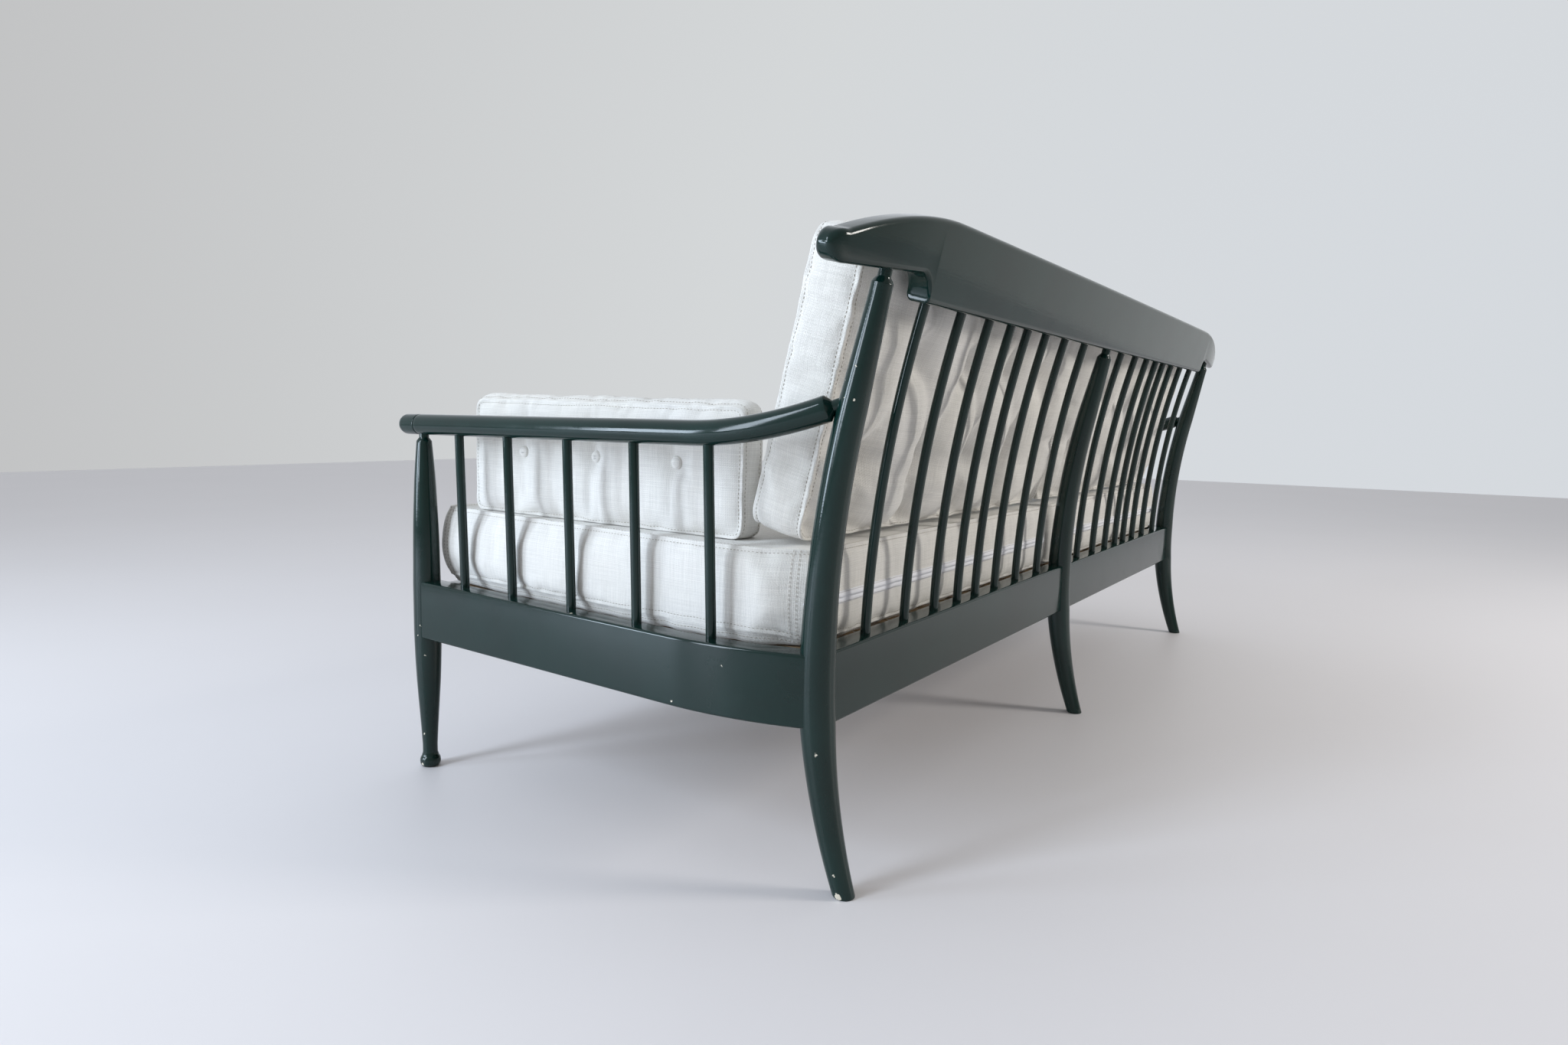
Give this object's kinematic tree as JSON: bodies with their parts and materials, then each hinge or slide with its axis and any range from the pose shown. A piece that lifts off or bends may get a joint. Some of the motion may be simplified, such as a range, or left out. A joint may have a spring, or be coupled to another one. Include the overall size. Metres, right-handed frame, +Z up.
{
  "type": "sofa",
  "caption": "Long two-bay settee with a turned, lacquered spindle frame on splayed legs, a deep curved top rail, round arms and loose box-edged linen cushions.",
  "frame": {"origin": "on the floor, under the middle of the whole settee", "axes": "+X along the settee to the sitter's left, the front faces -Y, +Z up"},
  "size_m": [2.0874, 0.8862, 0.8134],
  "materials": {
    "lacquer": "gloss",
    "raw_wood": "matte",
    "linen": "woven",
    "steel": "satin"
  },
  "bodies": {
    "frame": {"back_post_left": "lacquer", "back_post_mid": "lacquer", "back_post_right": "lacquer", "front_leg_left": "lacquer", "front_leg_mid": "lacquer", "front_leg_right": "lacquer", "top_rail": "lacquer", "back_apron_left": "lacquer", "back_apron_right": "lacquer", "side_apron_left": "lacquer", "side_apron_right": "lacquer", "front_apron_left": "lacquer", "front_apron_right": "lacquer", "arm_left": "lacquer", "arm_right": "lacquer", "back_spindle_1": "lacquer", "back_spindle_2": "lacquer", "back_spindle_3": "lacquer", "back_spindle_4": "lacquer", "back_spindle_5": "lacquer", "back_spindle_6": "lacquer", "back_spindle_7": "lacquer", "back_spindle_8": "lacquer", "back_spindle_9": "lacquer", "back_spindle_10": "lacquer", "back_spindle_11": "lacquer", "back_spindle_12": "lacquer", "back_spindle_13": "lacquer", "back_spindle_14": "lacquer", "back_spindle_15": "lacquer", "back_spindle_16": "lacquer", "arm_spindle_left_1": "lacquer", "arm_spindle_left_2": "lacquer", "arm_spindle_left_3": "lacquer", "arm_spindle_left_4": "lacquer", "arm_spindle_left_5": "lacquer", "arm_spindle_right_1": "lacquer", "arm_spindle_right_2": "lacquer", "arm_spindle_right_3": "lacquer", "arm_spindle_right_4": "lacquer", "arm_spindle_right_5": "lacquer", "centre_bearer": "raw_wood", "seat_slats": "raw_wood", "slat_cleats": "raw_wood", "corner_blocks": "raw_wood", "joint_dowels": "raw_wood", "slat_screws": "steel"},
    "seat_left": {"seat_cushion_left": "linen"},
    "seat_right": {"seat_cushion_right": "linen"},
    "back_left": {"back_cushion_left": "linen", "back_buttons_left": "linen"},
    "back_right": {"back_cushion_right": "linen", "back_buttons_right": "linen"},
    "arm_pad_left": {"arm_cushion_left": "linen", "arm_buttons_left": "linen"},
    "arm_pad_right": {"arm_cushion_right": "linen", "arm_buttons_right": "linen"},
    "zip_left": {"zip_slider_left": "steel"},
    "zip_right": {"zip_slider_right": "steel"}
  },
  "joints": [
    {"name": "seat_left_lift", "type": "slide", "parent": "frame", "child": "seat_left", "axis": [0, 0, 1], "range_m": [0, 0.15]},
    {"name": "back_left_lift", "type": "slide", "parent": "seat_left", "child": "back_left", "axis": [0, 0, 1], "range_m": [0, 0.15]},
    {"name": "arm_pad_left_lift", "type": "slide", "parent": "seat_left", "child": "arm_pad_left", "axis": [0, 0, 1], "range_m": [0, 0.15]},
    {"name": "zip_left_slide", "type": "slide", "parent": "seat_left", "child": "zip_left", "axis": [-1, 0, 0], "range_m": [0, 0.78]},
    {"name": "seat_right_lift", "type": "slide", "parent": "frame", "child": "seat_right", "axis": [0, 0, 1], "range_m": [0, 0.15]},
    {"name": "back_right_lift", "type": "slide", "parent": "seat_right", "child": "back_right", "axis": [0, 0, 1], "range_m": [0, 0.15]},
    {"name": "arm_pad_right_lift", "type": "slide", "parent": "seat_right", "child": "arm_pad_right", "axis": [0, 0, 1], "range_m": [0, 0.15]},
    {"name": "zip_right_slide", "type": "slide", "parent": "seat_right", "child": "zip_right", "axis": [1, 0, 0], "range_m": [0, 0.78]}
  ]
}
